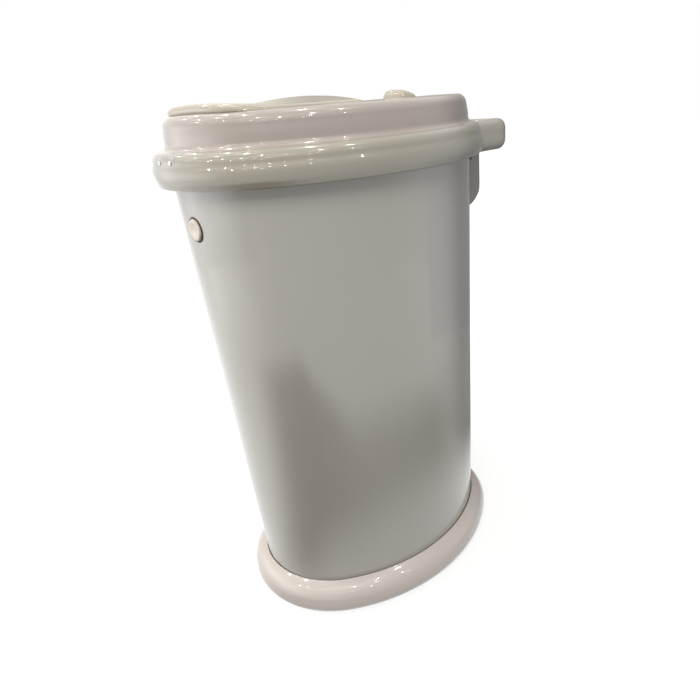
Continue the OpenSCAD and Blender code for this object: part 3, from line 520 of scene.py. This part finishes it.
# ---- Lid: collar band and carry loop ----
def loop_path(half_t, collar_r):
    """(x, y, turn, outer half width, inner half width) along the loop's U, legs filleted at the collar."""
    leg_x, start_y, end_y, corner = 44.0, 118.0, 174.5, 12.0
    out_fillet, in_fillet = 15.0, 7.0
    corner_y = end_y - corner

    def root(side, fillet, y):
        """Half width of the leg at y to one side, with its fillet to the collar."""
        cx = leg_x + side * (half_t + fillet)
        cy = END_C + math.sqrt((collar_r + fillet) ** 2 - cx ** 2)
        if y >= cy:
            return half_t
        drop = min(cy - y, fillet * 0.97)
        return half_t + fillet - math.sqrt(fillet ** 2 - drop ** 2)

    rows = [start_y + 1.0 * i for i in range(int(corner_y - start_y) + 1)]
    path = [(leg_x, y, 0.0, root(1, out_fillet, y), root(-1, in_fillet, y)) for y in rows]
    path += [(leg_x - corner + corner * math.cos(t), corner_y + corner * math.sin(t), t, half_t, half_t)
             for t in [math.radians(6 * i) for i in range(1, 15)]]
    path += [(leg_x - corner - (leg_x - corner) * i / 6, end_y, math.pi / 2, half_t, half_t)
             for i in range(7)]
    return path + [(-x, y, math.pi - t, b, a) for x, y, t, a, b in reversed(path[:-1])]


def build_collar():
    bm = bmesh.new()
    out_u, in_u, round_r, low_r, bulge, flat_u = 12.0, 8.0, 8.0, 1.8, 1.6, 3.9
    low_z, high_z = COLLAR_LOW + low_r, COLLAR_TOP - round_r
    # the outer face is slightly bowed
    face = [(out_u - bulge + bulge * (1 - ((low_z + high_z - 2 * z) / (high_z - low_z)) ** 2), z)
            for z in [low_z + (high_z - low_z) * i / 10 for i in range(11)]]
    top = [(flat_u + (out_u - bulge - flat_u) * math.cos(a), high_z + round_r * math.sin(a))
           for a in [math.radians(10 * i) for i in range(1, 10)]]
    low = [(out_u - bulge - low_r + low_r * math.cos(a), low_z + low_r * math.sin(a))
           for a in [math.radians(-90 + 18 * i) for i in range(5)]]
    inner = rounded([(-8, COLLAR_TOP, 0.3), (-8, COLLAR_TOP - 2.5, 0.3), (in_u - 5, COLLAR_TOP - 2.5, 4.0),
                     (in_u, COLLAR_TOP - 7, 4.0), (in_u, COLLAR_LOW, 0.3)])
    sweep(bm, low + face + top + inner)

    # carry loop: an upright rounded bar along a U
    middle_z, half_h, half_t = 389.0, 13.1, 7.0
    edge_r, edge_h = 6.6, 9.0
    section = []
    for side, end, a0 in ((1, -1, -90), (1, 1, 0), (-1, 1, 90), (-1, -1, 180)):
        for a in [math.radians(a0 + 9 * i) for i in range(11)]:
            section.append((side, math.cos(a), end * (half_h - edge_h) + edge_h * math.sin(a)))
    rings = []
    for x, y, turn, out_w, in_w in loop_path(half_t, END_R + out_u - 0.4):
        ring = []
        for side, c, z in section:
            s = side * ((out_w if side > 0 else in_w) - edge_r) + edge_r * c
            ring.append(Vector((x + s * math.cos(turn), y + s * math.sin(turn), middle_z + z)))
        rings.append(ring)
    add_tube(bm, rings)
    finish_mesh("lid_collar_and_loop", bm, lid_plastic, "lid", ["lid_frame"])


# ---- Lid: cover with its crowned deck ----
def build_cover():
    bm = bmesh.new()
    # edge radius, wall, lean of the side, radius of its foot, and the foot's clearance
    r, wall, lean, foot, lip = 8.0, 2.5, 1.1, 4.2, 0.04
    u0, side_low, side_top = COVER_U, COLLAR_TOP + lip + foot, DECK_TOP - r
    arcs = [math.radians(a) for a in range(0, 91, 9)]
    outer = [(u0, COLLAR_TOP - 0.05), (u0 + foot, COLLAR_TOP - 0.05)]
    outer += [(u0 + foot - foot * math.sin(a), side_low - foot * math.cos(a)) for a in arcs]
    outer += [(u0 - lean * k * k / 16, side_low + (side_top - side_low) * k / 4) for k in range(1, 4)]
    outer += [(u0 - r + (r - lean) * math.cos(a), side_top + r * math.sin(a)) for a in arcs]
    inner = [(u0 - r + (r - wall) * math.cos(a), side_top + (r - wall) * math.sin(a))
             for a in reversed(arcs)]
    inner += [(u0 - wall, 410), (u0 - wall, COLLAR_TOP)]
    cut = door_plan(*OPENING)
    edge = [ray_to(cut, *on_oval(fr, u0 - r, 0).xy) for fr in FRAMES]

    def deck(z, shares):
        """Rings of the deck at height z, by their share of the way in to the opening."""
        out = []
        for share in shares:
            ring = []
            for fr, e in zip(FRAMES, edge):
                p = on_oval(fr, u0 - r, z)
                ring.append(Vector((p.x + (e.x - p.x) * share, p.y + (e.y - p.y) * share, z)))
            out.append(ring)
        return out

    shares = [i / 10 for i in range(1, 10)]
    rings = [[on_oval(fr, u, z) for fr in FRAMES] for u, z in outer]
    rings += deck(DECK_TOP, shares + [0.985])
    rings += deck(DECK_TOP - 0.1, [0.997]) + deck(DECK_TOP - 0.5, [1.0])
    rings += deck(DECK_TOP - wall, [1.0] + list(reversed(shares)))
    rings += [[on_oval(fr, u, z) for fr in FRAMES] for u, z in inner]
    for ring in rings:
        for p in ring:
            p.z = lifted(p.x, p.y, p.z)
    add_rings(bm, rings, wrap=True)
    finish_mesh("lid_cover_skin", bm, cover_plastic, "lid", ["lid_cover"])


# ---- Hood over the front of the deck ----
def hood_plan(inset):
    front_y = -END_C - (END_R - 13) + inset
    half = max(HOOD_HALF_W - inset, 0.05)
    corner = min(max(42.0 - inset, 0.05), half)
    y1 = front_y + corner
    rear = max(HOOD_LIP_Y - inset, y1 + 0.05)
    return (line_points(half, y1, half, rear - 2, 16) + line_points(half, rear - 2, half, rear, 4)
            + line_points(half, rear, -half, rear, 36)
            + line_points(-half, rear, -half, rear - 2, 4)
            + line_points(-half, rear - 2, -half, y1, 16)
            + arc_points(-half + corner, y1, corner, 180, 270, 20)
            + line_points(-half + corner, front_y, half - corner, front_y, 14)
            + arc_points(half - corner, y1, corner, 270, 360, 20))


def hood_top(x, y):
    """Crown of the hood: a low rise with a swell along the front and another before the rear lip."""
    k = (x / HOOD_HALF_W) ** 2
    return min(DECK_TOP + 4.4 * (1 - 0.5 * k)
               + 2.73 * math.exp(-((y + 108.2) / 25.5) ** 2) * (1 - 0.88 * k)
               + 3.14 * math.exp(-((y + 27.0) / 26.0) ** 2) * (1 - 1.14 * k), DECK_TOP + 7.4)


def build_hood():
    bm = bmesh.new()
    wall, edge_r, seat = 2.0, 3.2, 0.35
    insets = [0, 0.08, 0.3, 0.7, 1.2, 1.8, 2.5, 3.2, 5, 8, 12, 16, 20, 24, 28, 32, 38, 44, 50, 56, 61.9]

    def drop(d):
        return 1 - math.sqrt(1 - (1 - min(d, edge_r) / edge_r) ** 2)

    def foot(x, y):
        return DECK_TOP + crown(x, y) - seat

    def low_edge(x, y):
        open_lip = y > HOOD_LIP_Y - 0.05 and abs(x) < HOOD_HALF_W - 2
        return hood_top(x, y) - edge_r if open_lip else foot(x, y)

    def skin(d):
        def height(x, y):
            top = max(hood_top(x, y), foot(x, y) + 1.3)
            return top - min(edge_r, top - foot(x, y) - 0.2) * drop(d)
        return height

    def lining(x, y):
        return max(hood_top(x, y) - wall - 0.6, foot(x, y) + 0.1)

    low = at_height(hood_plan(0), low_edge)
    add_rings(bm, [low] + [at_height(hood_plan(d), skin(d)) for d in insets])
    low_in = [Vector((x, y, p.z)) for (x, y), p in zip(hood_plan(wall), low)]
    add_rings(bm, [low_in] + [at_height(hood_plan(max(d, wall)), lining) for d in insets[6:]])
    add_rings(bm, [low, low_in])
    finish_mesh("hood_skin", bm, hood_plastic, "lid", ["hood"])


# ---- Sliding door: crowned plate with a finger scoop, and its grip ----
def door_top(x, y):
    scoop_y, scoop_r, scoop_depth = GRIP_Y - 27.5, 15, 2.6
    z = DOOR_TOP + crown(x, y)
    d = math.hypot(x / 1.25, y - scoop_y)
    if d < scoop_r:
        z -= scoop_depth * (0.5 + 0.5 * math.cos(math.pi * d / scoop_r))
    return z


def build_door():
    bm = bmesh.new()
    edge_r = 0.7
    half_w, front_y, corner = DOOR
    insets = [0, 0.07, 0.2, 0.42, 0.7] + [2 + 2.2 * i for i in range(25)] + [57.4]

    def drop(d):
        return edge_r - math.sqrt(edge_r ** 2 - (edge_r - min(d, edge_r)) ** 2)

    def flat(z):
        return lambda x, y: z

    plan = [door_plan(half_w - d, front_y + d, corner - d) for d in insets]
    rings = [at_height(ring, lambda x, y: door_top(x, y) - drop(d)) for d, ring in zip(insets, plan)]
    flange = [at_height(plan[0], flat(FLANGE_TOP)), at_height(door_plan(*FLANGE), flat(FLANGE_TOP)),
              at_height(door_plan(*FLANGE), flat(FLANGE_LOW))]
    under = [at_height(ring, flat(FLANGE_LOW)) for d, ring in zip(insets, plan) if d > 1 or d == 0]
    add_rings(bm, list(reversed(rings)) + flange + under)
    finish_mesh("sliding_door_skin", bm, hood_plastic, "door", ["sliding_door"])


def build_grip():
    bm = bmesh.new()
    edge, squareness = 6.0, 0.86
    # the top slopes down to the rear from this far in front of the middle
    slope_y, slope_drop = -7.0, 4.6
    insets = [0, 0.15, 0.4, 0.8, 1.3, 1.9, 2.6, 3.4, 4.3, 5.2, 6, 7.5, 9, 11, 13.4]

    def blunt(c):
        return math.copysign(abs(c) ** squareness, c)

    def plan(d):
        w, h = max(GRIP_HALF_W - d, 0.1), max(GRIP_HALF_L - d, 0.1)
        return [(w * blunt(math.cos(t)), h * blunt(math.sin(t)))
                for t in [math.radians(5 * i + 2.5) for i in range(72)]]

    def top(x, y):
        back = max(y - slope_y, 0) / (GRIP_HALF_L - slope_y)
        return GRIP_TOP - slope_drop * back ** 1.35 - 0.8 * (x / GRIP_HALF_W) ** 2

    rings = []
    for d in insets:
        ring = []
        share = math.sqrt(1 - (1 - min(d / edge, 1)) ** 2)
        for x, y in plan(d):
            base = door_top(x, y + GRIP_Y) - 0.15
            ring.append(Vector((x, y + GRIP_Y, base + (max(top(x, y), base) - base) * share)))
        rings.append(ring)
    low = [Vector((p.x, p.y, DOOR_TOP - 1.5)) for p in rings[0]]
    hub = [Vector((0.02 * p.x, GRIP_Y + 0.02 * (p.y - GRIP_Y), p.z)) for p in low]
    add_rings(bm, list(reversed(rings)) + [low, hub])
    for side in (-1, 1):
        peg = [(side * 7 + 2 * math.cos(t), GRIP_Y + 2 + 2 * math.sin(t))
               for t in [math.radians(15 * i) for i in range(24)]]
        add_tube(bm, [[Vector((x, y, z)) for x, y in peg] for z in (420.5, DOOR_TOP - 1.4)])
    finish_mesh("door_grip_skin", bm, hood_plastic, "door", ["door_grip"])


# ---- Push button ----
def build_button():
    bm = bmesh.new()
    # (radius, depth from the button's face) of the dished face, its rounded edge and the stem's bore
    y0, edge, bore = FRONT_Y - 1.0, 1.4, BUTTON_R - 2.5
    dish = [(0.02, 0.9), (1.2, 0.86), (2.4, 0.72), (3.5, 0.5), (4.5, 0.24), (5.2, 0.08), (5.8, 0.0)]
    round_edge = [(BUTTON_R - edge + edge * math.sin(a), edge - edge * math.cos(a))
                  for a in [math.radians(15 * i) for i in range(7)]]
    stem = [(BUTTON_R, 4), (BUTTON_R, 9.6), (bore, 9.6), (bore, 4.5), (0.02, 4.5)]
    add_rings(bm, [circle(0, y0 + depth, BUTTON_Z, r, 72) for r, depth in dish + round_edge + stem])
    finish_mesh("release_button_cap", bm, button_plastic, "latch", ["release_button"])


# ---- Return spring behind the button: one coiled wire ----
def build_latch_spring():
    lo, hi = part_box("latch_spring")
    wire, mean_r, turns, per_turn, sides = 0.9, 4.0, 5.5, 28, 10
    y0, y1 = lo[1] / MM - SHIFT_Y + wire, hi[1] / MM - SHIFT_Y - wire
    steps = int(turns * per_turn)

    def point(i):
        turn = i / per_turn
        # the first and the last three quarters of a turn lie flat
        rise = max(0.0, min(1.0, (turn - 0.75) / (turns - 1.5)))
        a = 2 * math.pi * turn
        return Vector((mean_r * math.cos(a), y0 + (y1 - y0) * rise, BUTTON_Z + mean_r * math.sin(a)))

    bm = bmesh.new()
    rings = []
    for i in range(steps + 1):
        centre = point(i)
        out = Vector((centre.x, 0, centre.z - BUTTON_Z)).normalized()
        along = (point(min(i + 1, steps)) - point(max(i - 1, 0))).normalized()
        side = along.cross(out)
        rings.append([centre + wire * (out * math.cos(t) + side * math.sin(t))
                      for t in (2 * math.pi * k / sides for k in range(sides))])
    add_tube(bm, rings)
    spring = finish_mesh("latch_spring_coil", bm, zinc, "bin", ["latch_spring"])
    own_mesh(spring)


# ---- Hinge housing: the solid's own mesh with its edges softened ----
def build_hinge_cover():
    mesh = node["hinge_housing"].data.copy()
    obj = bpy.data.objects.new("hinge_housing_skin", mesh)
    bpy.context.scene.collection.objects.link(obj)
    mod = obj.modifiers.new("voxels", "REMESH")
    mod.mode = "VOXEL"
    mod.voxel_size = 0.0007
    mod.use_smooth_shade = True
    soft = obj.modifiers.new("soften", "SMOOTH")
    soft.factor, soft.iterations = 0.5, 14
    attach(obj, "bin")
    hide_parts("hinge_housing")


for build in (build_body, build_base_ring, build_collar, build_cover, build_hood, build_door, build_grip,
              build_button, build_latch_spring, build_hinge_cover):
    build()


# ---- Studio ----
def behind(t, x):
    """Backdrop behind the bin as its gloss sees it: dim in the middle, white at the right."""
    return t.math("ADD", t.ramp(x, 0.05, 0.45, 0.24, 1.0), t.ramp(x, -0.35, -0.10, 0.18, 0.0),
                  t.ramp(x, -0.62, -0.50, 0.7, 0.0))


def mirrored_floor(t, where, away):
    """Share of the floor's light that the bin's gloss sees, by place and by distance from the axis."""
    at = t.split(where)
    turn = t.math("ARCTAN2", at["Y"], at["X"])
    # a soft dim patch in front of the bin, wider to the left than to the right
    wide = t.turn_ramp(turn, -60, -22, 0.27, 0.0)
    near = t.turn_ramp(turn, -85, -55, 0.05, 0.0)
    patch = t.math("MULTIPLY",
                   t.ramp(t.math("SUBTRACT", away, wide), 0.31, 0.51, 1.0, 0.0),
                   t.ramp(t.math("ADD", away, near), 0.15, 0.28, 0.0, 1.0),
                   t.math("MULTIPLY", t.turn_ramp(turn, -114, -76, 0.0, 1.0),
                          t.turn_ramp(turn, 30, 60, 1.0, 0.0)),
                   t.turn_ramp(turn, -65, -15, 0.98, 0.68))
    front = t.mix(patch, 1.0, 0.0)
    # the floor behind the bin is dimmed as the screen there is
    rear = t.mix(t.ramp(at["Y"], 0.10, 0.26, 0.0, 1.0), 1.0, behind(t, at["X"]))
    level = t.math("MULTIPLY", front, rear)
    # the lit floor far out to the left, which the left side of the body mirrors
    lit = t.math("MULTIPLY", t.turn_ramp(turn, -155, -135, 0.0, 1.0),
                 t.turn_ramp(turn, -112, -72, 1.0, 0.0), t.ramp(away, 0.6, 1.15, 0.0, 0.45))
    return t.math("ADD", level, t.math("MULTIPLY", level, lit))


def add_floor():
    bm = bmesh.new()
    bmesh.ops.create_grid(bm, x_segments=1, y_segments=1, size=6)
    floor = to_object("floor", bm)
    mat, t, bsdf = new_material("floor")
    bsdf["Roughness"].default_value = 0.9
    bsdf["Specular IOR Level"].default_value = 0.0
    path = t.add("LightPath").outputs
    seen = t.math("MAXIMUM", path["Is Camera Ray"], t.gloss_or_glass(path))
    where = t.place()
    distance = t.add("VectorMath")
    distance.operation = "LENGTH"
    t.link(where, distance.inputs[0])
    away = distance.outputs["Value"]
    # beyond the bin's own shadow the floor is the white of the backdrop
    lift = t.ramp(t.ramp(away, 0.18, 0.42, 0.0, 1.0), 0.0, 1.0, FLOOR_GLOW, 1.0, "LINEAR")
    shade = t.mix(path["Is Glossy Ray"], 1.0, mirrored_floor(t, where, away))
    pale = (0.20, 0.197, 0.193, 1)
    t.link(t.mix_colour(shade, (0, 0, 0, 1), pale), bsdf["Base Color"])
    bsdf["Emission Color"].default_value = WHITE
    t.link(t.math("MULTIPLY", lift, seen, shade), bsdf["Emission Strength"])
    floor.data.materials.append(mat)


def add_world():
    """Soft grey light all round, white where it is seen directly or in gloss."""
    world = bpy.data.worlds.new("studio")
    bpy.context.scene.world = world
    world.use_nodes = True
    t = Tree(world.node_tree)
    path = t.add("LightPath").outputs
    seen = t.math("MAXIMUM", path["Is Camera Ray"], t.gloss_or_glass(path))
    back = t.nodes["Background"]
    t.link(t.mix_colour(seen, WORLD_GREY, WHITE), back.inputs["Color"])
    back.inputs["Strength"].default_value = 1.0


def add_area(name, place, target, size_x, size_y, watts, colour):
    """Soft rectangular lamp that gloss doesn't see."""
    data = bpy.data.lights.new(name, "AREA")
    data.shape = "RECTANGLE"
    data.size, data.size_y = size_x, size_y
    data.energy = watts
    data.color = colour
    lamp = bpy.data.objects.new(name, data)
    lamp.location = place
    lamp.visible_glossy = False
    lamp.rotation_euler = (Vector(target) - Vector(place)).to_track_quat("-Z", "Y").to_euler()
    bpy.context.scene.collection.objects.link(lamp)


def add_ceiling_lamps():
    """Rows of round ceiling lamps, for points of light along the glossy edges only."""
    for i in range(8):
        for k in range(6):
            if (i + 2 * k) % 3 == 0:
                continue
            data = bpy.data.lights.new("ceiling_%d_%d" % (i, k), "AREA")
            data.shape = "DISK"
            data.size = 0.085
            data.energy = 2.6
            data.color = (1.0, 0.95, 0.87)
            lamp = bpy.data.objects.new(data.name, data)
            lamp.visible_diffuse = False
            lamp.location = (-2.1 + 0.66 * i + 0.21 * (k % 2), -3.6 + 0.74 * k + 0.16 * (i % 3), 1.9)
            bpy.context.scene.collection.objects.link(lamp)


def add_screen(name, radius, start, end, level_of):
    """Curved screen round the bin's axis, from start to end degrees, that only glossy rays see."""
    bm = bmesh.new()
    steps = 30
    turns = [math.radians(start + (end - start) * i / steps) for i in range(steps + 1)]
    rows = [[bm.verts.new((radius * math.cos(a), radius * math.sin(a), z)) for a in turns]
            for z in (0.0, SCREEN_TOP)]
    for i in range(steps):
        bm.faces.new((rows[0][i], rows[0][i + 1], rows[1][i + 1], rows[1][i]))
    screen = to_object(name, bm)
    mat, t, bsdf = new_material(name)
    bsdf["Base Color"].default_value = (0.02, 0.02, 0.02, 1)
    bsdf["Roughness"].default_value = 0.95
    level, tint = level_of(t, t.split(t.place()))
    t.link(level, bsdf["Emission Strength"])
    t.feed(bsdf["Emission Color"], tint)
    screen.data.materials.append(mat)
    screen.visible_camera = screen.visible_diffuse = screen.visible_shadow = False


def behind_level(t, at):
    """Grey behind the bin, which keeps its far edges from glaring, white at the top; warm to cool."""
    warm, cool = (1.0, 0.94, 0.84, 1), (0.93, 0.93, 1.0, 1)
    level = t.mix(t.ramp(at["Z"], 0.55, SCREEN_TOP, 0.0, 1.0), behind(t, at["X"]), 1.0)
    return level, t.mix_colour(t.ramp(at["X"], -0.3, 0.0, 0.0, 1.0), warm, cool)


def left_level(t, at):
    """White to the left of the bin, with a brighter soft patch in its middle."""
    turn = t.math("ARCTAN2", at["Y"], at["X"])
    glow = t.math("MULTIPLY", t.turn_ramp(turn, -168, -140, 0.0, LEFT_GLOW),
                  t.turn_ramp(turn, -110, -78, 1.0, 0.0),
                  t.ramp(at["Z"], 0.5, SCREEN_TOP, 1.0, 0.0), t.ramp(at["Z"], 0.0, 0.3, 0.4, 1.0))
    return t.math("ADD", glow, 1.0), WHITE


add_floor()
add_world()
# name, place, target, width, height, watts, colour
add_area("key", (0.85, -1.0, 1.65), (0, 0, 0.2), 0.9, 0.9, 25, (1.0, 0.985, 0.95))
add_area("left_strip", (-0.85, -1.05, 0.5), (0, -0.02, 0.2), 0.85, 1.5, 12, (1.0, 0.97, 0.94))
add_area("right_fill", (0.8, 0.75, 0.2), (0, 0, 0.05), 0.7, 0.4, 1.6, (1.0, 0.99, 0.97))
add_area("top", (-0.2, -0.1, 1.8), (0, 0, 0.3), 1.0, 1.0, 12, (1.0, 0.98, 0.94))
add_ceiling_lamps()
add_screen("screen", 0.62, 43, 180, behind_level)
add_screen("left_screen", 1.4, -168, -78, left_level)
bpy.context.scene.view_settings.view_transform = "Standard"
